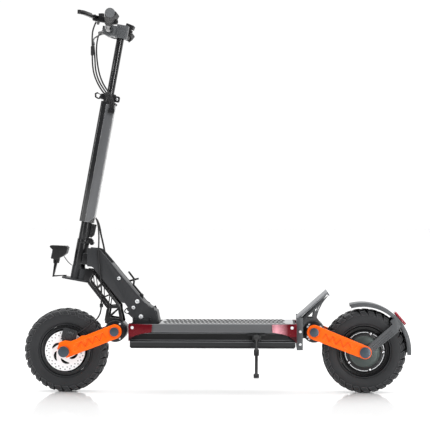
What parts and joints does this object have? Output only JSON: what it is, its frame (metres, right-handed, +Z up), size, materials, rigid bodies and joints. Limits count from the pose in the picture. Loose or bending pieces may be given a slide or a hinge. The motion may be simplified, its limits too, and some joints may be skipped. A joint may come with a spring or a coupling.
{
  "type": "electric kick scooter",
  "caption": "Off-road electric kick scooter: knobbly tyres on orange swing arms, flat deck with red corner caps, raked folding stem and wide handlebar.",
  "frame": {"origin": "on the ground, midway along, across and between the ends of the scooter", "axes": "front faces -X, rider's left is -Y, +Z up"},
  "size_m": [1.269, 0.6406, 1.2379],
  "materials": {
    "orange_paint": "satin bright orange paint on cast aluminium",
    "grey_paint": "satin dark grey powder coat on aluminium",
    "black_paint": "semi-matte black powder coat on aluminium",
    "panel_grey": "brushed grey anodised panel",
    "red_anodised": "glossy dark red anodising",
    "alloy": "cast aluminium",
    "steel": "bright zinc-plated steel",
    "rotor_steel": "brushed stainless steel",
    "tyre": "knobbly rubber tread",
    "rubber": "soft black rubber",
    "mat_rubber": "grip mat",
    "black_plastic": "moulded black plastic",
    "gloss_plastic": "gloss black plastic",
    "lens_clear": "clear lens",
    "red_lens": "red translucent lens",
    "cell_wrap": "wrapped cells",
    "cap_slate": "slate anodised cap"
  },
  "bodies": {
    "chassis": {"deck_body": "grey_paint", "deck_covers": "black_paint", "grip_mat": "mat_rubber", "battery_pack": "cell_wrap", "motor_controller": "alloy", "corner_caps": "red_anodised", "neck_plates": "grey_paint", "head_tube": "black_paint", "footrest": "grey_paint", "rear_brackets": "grey_paint", "rear_pivot_housing": "black_paint", "frame_bolts": "steel", "kickstand_bracket": "black_paint"},
    "fork": {"steerer_tube": "black_paint", "fork_crown": "grey_paint", "truss_legs": "grey_paint", "front_pivot_housing": "black_paint", "headlight_bracket": "black_paint", "front_brake_hose": "black_plastic", "caliper_hose": "black_plastic", "main_loom": "black_plastic"},
    "headlight": {"headlight_housing": "black_paint", "headlight_lens": "lens_clear", "headlight_wire": "black_plastic"},
    "stem": {"stem_socket": "black_paint", "stem_tube": "panel_grey", "qr_collar": "black_paint"},
    "collar_lever": {"collar_lever": "black_paint"},
    "fold_lever": {"fold_lever": "rubber"},
    "neck_latch": {"neck_latch": "black_paint"},
    "post": {"post_tube": "black_paint", "stem_head": "grey_paint", "handlebar": "black_paint", "grips": "rubber", "throttle_display": "gloss_plastic", "switch_pod": "black_plastic", "brake_perches": "black_paint", "brake_cable_left": "black_plastic", "brake_cable_right": "black_plastic", "control_loom": "black_plastic"},
    "brake_lever_left": {"brake_lever_left": "black_paint"},
    "brake_lever_right": {"brake_lever_right": "black_paint"},
    "thumb_throttle": {"thumb_throttle": "black_plastic"},
    "horn_button": {"horn_button": "rubber"},
    "light_button": {"light_button": "rubber"},
    "front_arm": {"front_arms": "orange_paint", "front_shafts": "cap_slate", "front_caliper": "black_paint"},
    "front_wheel": {"front_tyre": "tyre", "front_rim": "black_paint", "front_rotor": "rotor_steel"},
    "rear_arm": {"rear_arms": "orange_paint", "rear_shafts": "cap_slate", "rear_caliper": "black_paint", "fender": "black_plastic", "tail_light": "red_lens"},
    "rear_wheel": {"rear_tyre": "tyre", "hub_motor": "cap_slate", "rear_rotor": "rotor_steel"},
    "kickstand": {"kickstand_leg": "black_paint"}
  },
  "joints": [
    {"name": "steering", "type": "hinge", "parent": "chassis", "child": "fork", "pos_m": [-0.46139, 0, 0.39343], "axis": [0.1805, 0, 0.9836], "range_deg": [-40, 40], "deforming": ["front_brake_hose", "main_loom"]},
    {"name": "headlight_tilt", "type": "hinge", "parent": "fork", "child": "headlight", "pos_m": [-0.533, 0, 0.431], "axis": [0, 1, 0], "range_deg": [-12, 12], "deforming": ["headlight_wire"]},
    {"name": "stem_fold", "type": "hinge", "parent": "fork", "child": "stem", "pos_m": [-0.41409, 0, 0.49048], "axis": [0, 1, 0], "range_deg": [0, 85], "deforming": ["front_brake_hose", "main_loom"]},
    {"name": "post_height", "type": "slide", "parent": "stem", "child": "post", "axis": [0.1805, 0, 0.9836], "range_m": [-0.18, 0], "deforming": ["brake_cable_left", "brake_cable_right", "control_loom"]},
    {"name": "collar_lever_cam", "type": "hinge", "parent": "stem", "child": "collar_lever", "pos_m": [-0.37836, 0, 0.97601], "axis": [0, 1, 0], "range_deg": [0, 80]},
    {"name": "fold_lever_pull", "type": "hinge", "parent": "stem", "child": "fold_lever", "pos_m": [-0.41929, 0, 0.51482], "axis": [0, 1, 0], "range_deg": [0, 20], "stiffness_Nm_per_rad": 0.6, "springref_deg": -5.73},
    {"name": "neck_latch_press", "type": "hinge", "parent": "chassis", "child": "neck_latch", "pos_m": [-0.249, 0, 0.3195], "axis": [0, 1, 0], "range_deg": [0, 25], "stiffness_Nm_per_rad": 1.5, "springref_deg": -20.05},
    {"name": "left_brake_pull", "type": "hinge", "parent": "post", "child": "brake_lever_left", "pos_m": [-0.38667, -0.15, 1.21771], "axis": [0, 0, 1], "range_deg": [0, 18], "stiffness_Nm_per_rad": 2, "springref_deg": -8.59},
    {"name": "right_brake_pull", "type": "hinge", "parent": "post", "child": "brake_lever_right", "pos_m": [-0.38667, 0.15, 1.21771], "axis": [0, 0, -1], "range_deg": [0, 18], "stiffness_Nm_per_rad": 2, "springref_deg": -8.59},
    {"name": "throttle_press", "type": "hinge", "parent": "post", "child": "thumb_throttle", "pos_m": [-0.30746, 0.186, 1.20113], "axis": [0, 1, 0], "range_deg": [0, 30], "stiffness_Nm_per_rad": 0.2, "springref_deg": -17.19},
    {"name": "horn_press", "type": "slide", "parent": "post", "child": "horn_button", "axis": [-1, 0, 0], "range_m": [0, 0.0015], "stiffness_N_per_m": 400, "springref_m": -0.0008},
    {"name": "light_press", "type": "slide", "parent": "post", "child": "light_button", "axis": [-1, 0, 0], "range_m": [0, 0.0015], "stiffness_N_per_m": 400, "springref_m": -0.0008},
    {"name": "front_suspension", "type": "hinge", "parent": "fork", "child": "front_arm", "pos_m": [-0.332, 0, 0.2025], "axis": [0, 1, 0], "range_deg": [-3, 12], "stiffness_Nm_per_rad": 900, "springref_deg": -1.57, "deforming": ["caliper_hose"]},
    {"name": "front_wheel_spin", "type": "hinge", "parent": "front_arm", "child": "front_wheel", "pos_m": [-0.497, 0, 0.1375], "axis": [0, 1, 0], "continuous": true},
    {"name": "rear_suspension", "type": "hinge", "parent": "chassis", "child": "rear_arm", "pos_m": [0.318, 0, 0.2025], "axis": [0, -1, 0], "range_deg": [-3, 12], "stiffness_Nm_per_rad": 900, "springref_deg": -1.07},
    {"name": "rear_wheel_spin", "type": "hinge", "parent": "rear_arm", "child": "rear_wheel", "pos_m": [0.483, 0, 0.1375], "axis": [0, 1, 0], "continuous": true},
    {"name": "kickstand_swing", "type": "hinge", "parent": "chassis", "child": "kickstand", "pos_m": [0.1315, -0.126, 0.186], "axis": [0, 0.866, -0.5], "range_deg": [-85, 0]}
  ]
}
